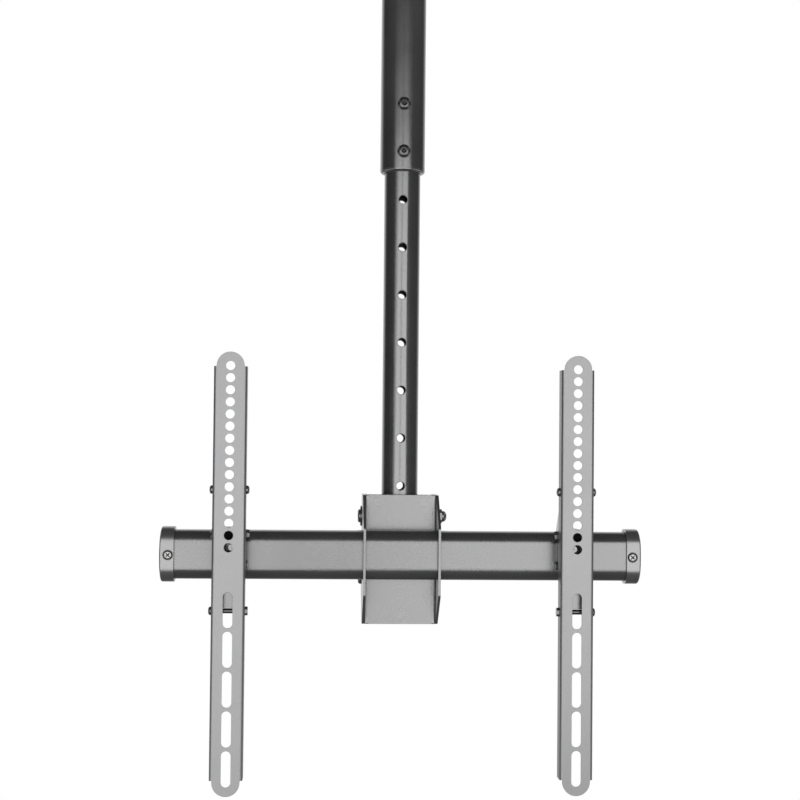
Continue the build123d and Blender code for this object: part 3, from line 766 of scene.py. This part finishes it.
@dataclass
class GroundSeam:
    """Weld ground smooth in the groove between a folded plate's bend and a cheek.

    Attributes:
        groove: X of the cheek's inner face.
        face: Y of the plate's front face.
        low: height of the lower end.
        high: height of the upper end.
        width: how far the weld reaches from the cheek.
        depth: how deep the groove is under the plate's face.
        fullness: exponent of the section, smaller for a fuller weld.
        close: length over which both ends shrink.
    """

    groove: float
    face: float
    low: float
    high: float
    width: float = 0.0038
    depth: float = 0.0019
    fullness: float = 0.55
    close: float = 0.0002

    def patch(self) -> Patch:
        """Seam surface.

        The section is a quarter of a superellipse from the plate's face down to the cheek,
        closed deep in the groove, with its points close together at both ends. It wanders by a
        few hundredths of a millimetre with two sines of the height, and both ends shrink into
        the groove.

        Returns:
            A closed bar.
        """
        step = np.linspace(0.0, 1.0, 20)
        turn = np.pi / 2 * step**3 / (step**3 + (1 - step) ** 3)
        inward = 1 - np.sin(turn) ** self.fullness
        down = 1 - np.cos(turn) ** self.fullness
        # Two points deep in the groove, one on the cheek and one under the plate, close the section.
        inward = np.concatenate([inward, [0.0, 1.0]])[None, :]
        down = np.concatenate([down, [1.9, 1.3]])[None, :]
        inside = np.linspace(self.low + self.close, self.high - self.close, 160)
        level = np.concatenate([[self.low], inside, [self.high]])[:, None]
        wander = 1 + 0.03 * np.sin(level / 0.0021) + 0.02 * np.sin(level / 0.0057)
        end = np.minimum(level - self.low, self.high - level) / self.close
        swell = np.sqrt(np.clip(end, 0.0, 1.0)) * wander
        side = np.sign(self.groove)
        x = self.groove - side * self.width * inward * swell
        y = self.face + self.depth * (1 - swell * (1 - down))
        return Patch(np.stack(np.broadcast_arrays(x, y, level), axis=-1))


@dataclass
class Rivet:
    """Rivet with a rounded head and a dimple, standing out towards the front.

    Attributes:
        x: sideways place.
        z: height.
        foot: Y of the surface that it stands on.
        front: Y of its head.
        radius: head radius.
    """

    x: float
    z: float
    foot: float
    front: float
    radius: float = 0.0037

    def patch(self) -> Patch:
        """Rivet surface.

        A profile of reach and depth is turned about the Y axis: a flat head with a shallow
        cosine dimple, a rounded rim, a straight neck and a foot that closes on the axis.

        Returns:
            A closed solid of revolution.
        """
        inner = np.linspace(0.0, 0.8, 12)
        corner = np.linspace(0.0, np.pi / 2, 8)[1:]
        reach = np.concatenate([inner, 0.8 + 0.2 * np.sin(corner), [0.86, 0.86, 0.0]])
        dimple = 0.03 * (1 + np.cos(np.pi * np.clip(inner / 0.3, 0, 1)))
        drop = np.concatenate([dimple, 0.2 * (1 - np.cos(corner))])
        neck = self.radius * 0.5
        length = self.foot - self.front
        depth = np.concatenate([drop * self.radius, [neck, length + 0.0005, length + 0.0005]])[:, None]
        turn = full_turn(40)[None, :]
        reach = (reach * self.radius)[:, None]
        y = np.broadcast_to(self.front + depth, (len(reach), turn.size))
        points = [self.x + reach * np.cos(turn), y, self.z + reach * np.sin(turn)]
        return Patch(np.stack(points, axis=-1))


@dataclass
class Sleeve:
    """Ribbed sleeve round a bolt that lies along X.

    Attributes:
        centre: the sleeve's middle.
        length: its length.
        radius: its radius over the ribs.
        bore: radius of the bolt inside it.
        rib: distance between two ribs.
    """

    centre: tuple[float, float, float]
    length: float
    radius: float
    bore: float
    rib: float = 0.0024

    def patch(self) -> Patch:
        """Sleeve surface.

        The radius falls by a twentieth between the ribs with the cosine of the distance over
        the rib's length, and by a tenth in the last half millimetre. The ends drop to the bore.

        Returns:
            A closed ring.
        """
        reach = np.linspace(-self.length / 2, self.length / 2, 120)
        end = np.clip((self.length / 2 - np.abs(reach)) / 0.0005, 0.0, 1.0)
        ribs = 0.975 + 0.025 * np.cos(2 * np.pi * reach / self.rib)
        size = self.radius * ribs * (0.9 + 0.1 * np.sqrt(end))
        size = np.concatenate([[self.bore], size, [self.bore]])[:, None]
        reach = np.concatenate([reach[:1], reach, reach[-1:]])[:, None]
        turn = full_turn(40)[None, :]
        depth = np.broadcast_to(reach, (len(reach), turn.size))
        points = along(Axis.X, size * np.cos(turn), size * np.sin(turn), depth)
        return Patch(points + np.array(self.centre), closed_rows=True)


def node_box(node: str) -> tuple[Vector, Vector]:
    """Lowest and highest corner of a CAD node at rest."""
    low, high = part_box(node)
    return Vector(low), Vector(high)


@dataclass
class SubAssembly:
    """Nodes of one body and their finishes.

    Attributes:
        body: the body's name.
        shop: the maker of materials.
        nodes: the CAD nodes by name.
        finishes: finish of each node.
    """

    body: str
    shop: Paintshop
    nodes: dict[str, bpy.types.Object]
    finishes: dict[str, Finish] = field(default_factory=dict)

    def dress(self) -> None:
        """Coat each CAD node."""
        for node, finish in self.finishes.items():
            self.shop.coat(self.nodes[node], finish)
            LOG.info("node %s: %s", node, finish.name.lower())

    def add(self, name: str, patches: Sequence[Patch], finish: Finish) -> bpy.types.Object:
        """Make one piece that rides on this body."""
        return piece_of(name, patches, finish, self.body, self.shop)

    def build(self) -> None:
        """Dress the nodes and make the body's own details."""
        self.dress()


@dataclass
class CeilingEnd(SubAssembly):
    """Ceiling plate, socket and swivel bolt.

    Attributes:
        swivel_radius: radius of the swivel bolt.
        swivel_pitch: pitch of its thread.
    """

    swivel_radius: float = 6 * MM
    swivel_pitch: float = 1.75 * MM

    def build(self) -> None:
        """Coat the nodes and cut the swivel bolt's thread."""
        self.finishes = {
            "ceiling_plate": Finish.SHEET,
            "ceiling_socket": Finish.TUBE,
            "socket_screws": Finish.BLACK,
            "swivel_bolt": Finish.PLATED,
            "thrust_washer": Finish.NYLON,
            "swivel_washer": Finish.PLATED,
            "swivel_nut": Finish.PLATED,
        }
        self.dress()
        start = node_box("swivel_nut")[0].z
        end = node_box("swivel_bolt")[0].z
        thread = Thread((0, 0, start), Axis.Z, end - start, self.swivel_radius, self.swivel_pitch)
        self.add("swivel_thread", [thread.patch()], Finish.PLATED)


@dataclass
class UpperPole(SubAssembly):
    """Outer tube with its bush and through bolts.

    Attributes:
        bolt_radius: radius of the through bolts.
    """

    bolt_radius: float = 4 * MM

    def build(self) -> None:
        """Coat the nodes and cut the bolts' threads behind their nuts."""
        self.finishes = {
            "outer_tube": Finish.TUBE,
            "tube_plug": Finish.TUBE,
            "guide_bush": Finish.TUBE,
            "pole_bolts": Finish.BOLT,
            "pole_washers": Finish.BLACK,
            "pole_nuts": Finish.BLACK,
        }
        self.dress()
        nut_low, nut_high = node_box("pole_nuts")
        bolt_end = node_box("pole_bolts")[1].y
        # The nuts stand on a corner, so half their height is their width over the root of three.
        half_nut = (nut_high.x - nut_low.x) / math.sqrt(3)
        levels = (nut_low.z + half_nut, nut_high.z - half_nut)
        threads = [
            Thread((0, nut_high.y, level), Axis.Y, bolt_end - nut_high.y, self.bolt_radius).patch()
            for level in levels
        ]
        self.add("pole_bolt_threads", threads, Finish.BLACK)


@dataclass
class LowerPole(SubAssembly):
    """Inner tube with its index holes, and the welded foot.

    Attributes:
        hole_radius: radius of an index hole.
        pitch: distance between index holes.
        pivot_above_end: height of the pivot over the tube's end.
        lowest_above_pivot: height of the lowest index hole over the pivot.
        holes: number of index holes.
        foot_below_pivot: how far the foot's back plate reaches under the pivot.
        foot_above_pivot: how far it reaches over the pivot.
        bead: radius of the weld beads.
        bead_angle: how far a bead runs round the tube to each side, in degrees.
    """

    hole_radius: float = 4.5 * MM
    pitch: float = 50 * MM
    pivot_above_end: float = 14 * MM
    lowest_above_pivot: float = 32 * MM
    holes: int = 9
    foot_below_pivot: float = 29 * MM
    foot_above_pivot: float = 22 * MM
    bead: float = 1.7 * MM
    bead_angle: float = 38.0

    def rims(self) -> list[Patch]:
        """Raise the lips round the index holes, in front and behind.

        Returns:
            One ring for each hole and side.
        """
        low, high = node_box("inner_tube")
        lowest = low.z + self.pivot_above_end + self.lowest_above_pivot
        radius = (high.x - low.x) / 2
        return [
            HoleRim(lowest + self.pitch * step, radius, self.hole_radius, facing).patch()
            for step in range(self.holes)
            for facing in (-1, 1)
        ]

    def beads(self) -> list[Patch]:
        """Weld the tube to the foot's back, over and under it.

        Each bead's centre line is an arc of the tube's back wall at the foot's edge.

        Returns:
            The two beads.
        """
        low, high = node_box("inner_tube")
        radius = (high.x - low.x) / 2 + self.bead * 0.3
        pivot = low.z + self.pivot_above_end
        angle = np.radians(np.linspace(-self.bead_angle, self.bead_angle, 90))
        x = radius * np.sin(angle)
        y = radius * np.cos(angle)
        levels = (pivot - self.foot_below_pivot, pivot + self.foot_above_pivot)
        paths = [np.stack([x, y, np.full_like(angle, level)], axis=-1) for level in levels]
        return [WeldBead(path, self.bead).patch() for path in paths]

    def build(self) -> None:
        """Coat the nodes, raise the hole lips and lay the weld beads."""
        self.finishes = {
            "inner_tube": Finish.TUBE,
            "top_bush": Finish.PLASTIC,
            "pole_foot": Finish.SHEET,
            "pivot_spacers": Finish.PLATED,
        }
        self.dress()
        self.add("index_hole_lips", self.rims(), Finish.DETAIL)
        self.add("foot_welds", self.beads(), Finish.DETAIL)


@dataclass
class Head(SubAssembly):
    """Tilting head with the cross bar.

    Attributes:
        mark_side: distance of the upper weld marks from the middle.
        mark_top: distance of the upper marks from the plate's upper edge.
        mark_bottom: distance of the lower mark from its lower edge.
    """

    mark_side: float = 23.5 * MM
    mark_top: float = 7.5 * MM
    mark_bottom: float = 9.5 * MM

    def marks(self) -> list[Patch]:
        """Set the weld marks on the front of the channel's web.

        Returns:
            Two marks at the top and one at the bottom.
        """
        low, high = node_box("head_channel")
        top = high.z - self.mark_top
        spots = [(-self.mark_side, top), (self.mark_side, top), (0.0, low.z + self.mark_bottom)]
        return [WeldMark(x, z, low.y).patch() for x, z in spots]

    def seams(self) -> list[Patch]:
        """Ground welds between the channel's bends and the cheeks."""
        low, high = node_box("head_channel")
        return [GroundSeam(groove, low.y, low.z, high.z).patch() for groove in (low.x, high.x)]

    def build(self) -> None:
        """Coat the nodes, set the weld marks and lay the ground welds."""
        self.finishes = {
            "head_channel": Finish.SHEET,
            "cheek_left": Finish.SHEET,
            "cheek_right": Finish.SHEET,
            "pivot_bolt": Finish.BLACK,
            "pivot_washers": Finish.BLACK,
            "pivot_nut": Finish.SHEET,
            "tilt_lock_bolt": Finish.BLACK,
            "tilt_lock_nut": Finish.BLACK,
            "tilt_lock_sleeve": Finish.PLATED,
            "cross_bar": Finish.BAR,
            "bar_screws": Finish.PLATED,
            "end_cap_left": Finish.PLASTIC,
            "end_cap_right": Finish.PLASTIC,
            "cap_screws": Finish.PLATED,
        }
        self.dress()
        self.add("weld_marks", self.marks(), Finish.DETAIL)
        self.add("cheek_seams", self.seams(), Finish.DETAIL)


@dataclass
class ScreenArm(SubAssembly):
    """One screen arm with its bracket, clamp and bolts.

    Attributes:
        side: left or right.
        sleeve_radius: radius of the sleeve on the clamp bolt.
        sleeve_length: its length.
        rivet_inwards: distance of the clamp's rivet from the arm's middle, towards the pole.
        rivet_below_top: its distance under the arm's top end.
        rivet_behind_arm: distance of its head behind the arm's front face.
        screw_radius: radius of the side screws.
        screw_pitch: pitch of their thread.
        screw_end: length of thread that shows behind a nut.
        nut_height: how far a side nut stands inwards from the arm's wall.
    """

    side: Side = Side.LEFT
    sleeve_radius: float = 7.4 * MM
    sleeve_length: float = 23.4 * MM
    rivet_inwards: float = 2.9 * MM
    rivet_below_top: float = 193.8 * MM
    rivet_behind_arm: float = 3.6 * MM
    screw_radius: float = 2.5 * MM
    screw_pitch: float = 0.8 * MM
    screw_end: float = 0.8 * MM
    nut_height: float = 4 * MM

    def named(self, piece: str) -> str:
        """A node's name on this side."""
        return f"{piece}_{self.side.word}"

    def rivet(self) -> list[Patch]:
        """Set the rivet on the clamp's front, behind the lowest round hole of the arm.

        Returns:
            The rivet.
        """
        low, high = node_box(self.named("arm"))
        x = (low.x + high.x) / 2 - self.side.value * self.rivet_inwards
        z = high.z - self.rivet_below_top
        foot = node_box(self.named("bar_clamp"))[0].y
        return [Rivet(x, z, foot, low.y + self.rivet_behind_arm).patch()]

    def sleeve(self) -> list[Patch]:
        """Push the sleeve on the clamp bolt, between the bracket's walls.

        Returns:
            The sleeve.
        """
        low, high = node_box(self.named("clamp_bolt"))
        arm_low, arm_high = node_box(self.named("arm"))
        centre = ((arm_low.x + arm_high.x) / 2, (low.y + high.y) / 2, (low.z + high.z) / 2)
        bore = self.sleeve_radius * 0.4
        return [Sleeve(centre, self.sleeve_length, self.sleeve_radius, bore).patch()]

    def side_threads(self) -> list[Patch]:
        """Cut the threads of the side screws behind their nuts, inside the arm.

        Returns:
            A thread on the left and one on the right.
        """
        low, high = node_box(self.named("side_screws"))
        nut_low, nut_high = node_box(self.named("side_nuts"))
        centre = ((low.y + high.y) / 2, (low.z + high.z) / 2)
        left = (nut_low.x + self.nut_height, self.screw_end)
        right = (nut_high.x - self.nut_height, -self.screw_end)
        return [
            Thread((x, *centre), Axis.X, reach, self.screw_radius, self.screw_pitch).patch()
            for x, reach in (left, right)
        ]

    def build(self) -> None:
        """Coat the nodes, cut the side screws' threads and set the rivet and the sleeve."""
        coats = {
            "arm": Finish.ARM,
            "bracket": Finish.SHEET,
            "bar_clamp": Finish.SHEET,
            "side_screws": Finish.BLACK,
            "side_nuts": Finish.BLACK,
            "clamp_bolt": Finish.BLACK,
            "clamp_nut": Finish.BLACK,
            "pinch_bolt": Finish.BLACK,
            "pinch_nut": Finish.BLACK,
            "stop_bolt": Finish.BOLT,
            "stop_nut": Finish.BLACK,
        }
        self.finishes = {self.named(piece): finish for piece, finish in coats.items()}
        self.dress()
        self.add(self.named("side_screw_threads"), self.side_threads(), Finish.BLACK)
        self.add(self.named("clamp_rivet"), self.rivet(), Finish.DETAIL)
        # A sleeve whose near-black colour is painted shade, seen through the arm's round hole.
        self.add(self.named("clamp_sleeve"), self.sleeve(), Finish.SLEEVE)


@dataclass(frozen=True)
class Softbox:
    """One rectangular lamp that shines along +Y.

    Attributes:
        name: lamp name.
        centre: its place.
        width: its size along X.
        height: its size along Z.
        level: its radiance.
    """

    name: str
    centre: tuple[float, float, float]
    width: float
    height: float
    level: float

    def hang(self) -> None:
        """Make the lamp, whose power is its radiance times pi times its area."""
        lamp = bpy.data.lights.new(self.name, "AREA")
        lamp.shape = "RECTANGLE"
        lamp.size = self.width
        lamp.size_y = self.height
        lamp.energy = self.level * math.pi * self.width * self.height
        holder = bpy.data.objects.new(self.name, lamp)
        holder.location = self.centre
        holder.rotation_euler = (math.radians(90), 0, 0)
        holder.visible_camera = False
        bpy.context.scene.collection.objects.link(holder)


@dataclass
class Studio:
    """Camera, lamps, world and floor.

    Attributes:
        camera_place: where the camera stands.
        yaw: turn of the view to the right, in degrees.
        pitch: tilt of the view upwards, in degrees.
        roll: turn of the picture, in degrees.
        picture: width of the picture in pixels.
        focal: focal length in pixels of that picture.
        lamp_distance: how far in front of the pole the lamps stand.
        lamp_top: height of the lamps' upper edge.
        lamp_bottoms: height of the lower edge of the left and the right lamp.
        lamp_outer: half of the lamps' whole width.
        lamp_gap: gap between the two lamps.
        lamp_shift: how far the gap's middle lies to the right of the pole.
        lamp_level: their radiance.
        fill_level: radiance of the room on dull surfaces.
        floor_level: height of the floor.
        floor_radius: its radius.
    """

    camera_place: tuple[float, float, float] = (-0.0867, -1.6194, -0.7648)
    yaw: float = 3.0512
    pitch: float = 1.7325
    roll: float = 0.5423
    picture: float = 800.0
    focal: float = 1536.9
    lamp_distance: float = 2.0
    lamp_top: float = -0.03
    lamp_bottoms: tuple[float, float] = (-1.98, -1.66)
    lamp_outer: float = 1.7
    lamp_gap: float = 0.12
    lamp_shift: float = -0.09
    lamp_level: float = 1.38
    fill_level: float = 0.3
    floor_level: float = -2.5
    floor_radius: float = 2.5

    def set_camera(self) -> None:
        """Place the camera from its yaw, pitch and roll."""
        yaw, pitch, roll = (math.radians(angle) for angle in (self.yaw, self.pitch, self.roll))
        right = Vector((math.cos(yaw), -math.sin(yaw), 0))
        level = Vector((math.sin(yaw), math.cos(yaw), 0))
        forward = level * math.cos(pitch) + Vector((0, 0, math.sin(pitch)))
        above = Vector((0, 0, math.cos(pitch))) - level * math.sin(pitch)
        x_axis = right * math.cos(roll) + above * math.sin(roll)
        y_axis = above * math.cos(roll) - right * math.sin(roll)
        lens = bpy.data.cameras.new("camera")
        lens.lens = self.focal / self.picture * lens.sensor_width
        camera = bpy.data.objects.new("camera", lens)
        turn = Matrix((x_axis, y_axis, -forward)).transposed().to_4x4()
        camera.matrix_world = Matrix.Translation(self.camera_place) @ turn
        bpy.context.scene.collection.objects.link(camera)
        bpy.context.scene.camera = camera

    def hang_lamps(self) -> None:
        """Hang one softbox on each side of the camera."""
        width = self.lamp_outer - self.lamp_gap / 2
        for side, bottom in zip(Side, self.lamp_bottoms):
            height = self.lamp_top - bottom
            across = self.lamp_shift + side.value * (self.lamp_gap + width) / 2
            centre = (across, -self.lamp_distance, (self.lamp_top + bottom) / 2)
            Softbox(f"softbox_{side.word}", centre, width, height, self.lamp_level).hang()

    def set_world(self) -> None:
        """White backdrop for the camera, and a dim room that gloss reflects, white straight behind."""
        world = bpy.data.worlds.new("studio")
        world.use_nodes = True
        bpy.context.scene.world = world
        graph = Graph(world.node_tree)
        ways = graph.node("ShaderNodeLightPath")
        camera_ray = Value(graph, ways.outputs["Is Camera Ray"])
        seen = camera_ray.at_least(Value(graph, ways.outputs["Is Transmission Ray"]))
        gloss = Value(graph, ways.outputs["Is Glossy Ray"])
        x, y, z = graph.split(graph.value("ShaderNodeTexCoord", None, None, "Generated"))
        # The room is dim, a little lighter to the right, and lit at its sides above and below.
        aside = (x * x).ramp(0.3, 0.75)
        below = (0.0 - z).ramp(0.12, 0.3)
        above = z.ramp(0.3, 0.5)
        room = 0.037 + x * 0.018 + aside * (below + above) * 0.45 + (1 - aside) * below * 0.04
        # The backdrop is white straight behind the mount and fades downwards.
        backdrop = y.ramp(0.45, 0.95) * (0.25 + 0.75 * z.ramp(-0.45, -0.05))
        mirrored = room * (1 - backdrop) + backdrop
        level = gloss * mirrored + (1 - gloss) * self.fill_level
        level = seen + (1 - seen) * level
        white = (1, 1, 1, 1)
        shine = graph.node("ShaderNodeBackground", None, {"Color": white, "Strength": level})
        graph.node("ShaderNodeOutputWorld", None, {"Surface": shine.outputs[0]})

    def lay_floor(self) -> None:
        """Pale round floor far under the mount, as a disc of rings with a speckled coat."""
        reach = np.linspace(0, self.floor_radius, 12)[:, None]
        turn = full_turn(72)[None, :]
        x = reach * np.cos(turn)
        patch = Patch(np.stack([x, reach * np.sin(turn), np.full_like(x, self.floor_level)], axis=-1))
        mesh = bpy.data.meshes.new("floor")
        mesh.from_pydata(patch.points.reshape(-1, 3).tolist(), [], patch.quads()[:, ::-1].tolist())
        floor = bpy.data.objects.new("floor", mesh)
        made = bpy.data.materials.new("pale_floor")
        made.use_nodes = True
        graph = Graph(made.node_tree)
        colour = graph.blend(graph.noise(4.0, 3.0), (0.84, 0.84, 0.84), (0.8, 0.8, 0.8))
        length = {"operation": "LENGTH"}
        distance = graph.value("ShaderNodeVectorMath", length, {0: graph.place()}, "Value")
        solid = 1 - distance.ramp(self.floor_radius * 0.25, self.floor_radius * 0.98)
        inputs = {"Base Color": colour, "Roughness": 0.8, "Alpha": solid}
        shader = graph.node("ShaderNodeBsdfPrincipled", None, inputs)
        graph.node("ShaderNodeOutputMaterial", None, {"Surface": shader.outputs[0]})
        mesh.materials.append(made)
        floor.visible_glossy = False
        bpy.context.scene.collection.objects.link(floor)

    def build(self) -> None:
        """Set up the whole studio."""
        self.set_camera()
        self.hang_lamps()
        self.set_world()
        self.lay_floor()
        bpy.context.scene.view_settings.view_transform = "Standard"


def main() -> None:
    """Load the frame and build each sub-assembly in order."""
    logging.basicConfig(level=logging.INFO, format="%(name)s %(message)s")
    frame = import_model()
    nodes = frame["nodes"]
    shop = Paintshop()
    Studio().build()
    parts: list[SubAssembly] = [
        CeilingEnd("ceiling", shop, nodes),
        UpperPole("upper_pole", shop, nodes),
        LowerPole("lower_pole", shop, nodes),
        Head("head", shop, nodes),
        ScreenArm("left_arm", shop, nodes, side=Side.LEFT),
        ScreenArm("right_arm", shop, nodes, side=Side.RIGHT),
    ]
    for part in parts:
        part.build()
        LOG.info("%s done", type(part).__name__)


if __name__ == "__main__":
    main()
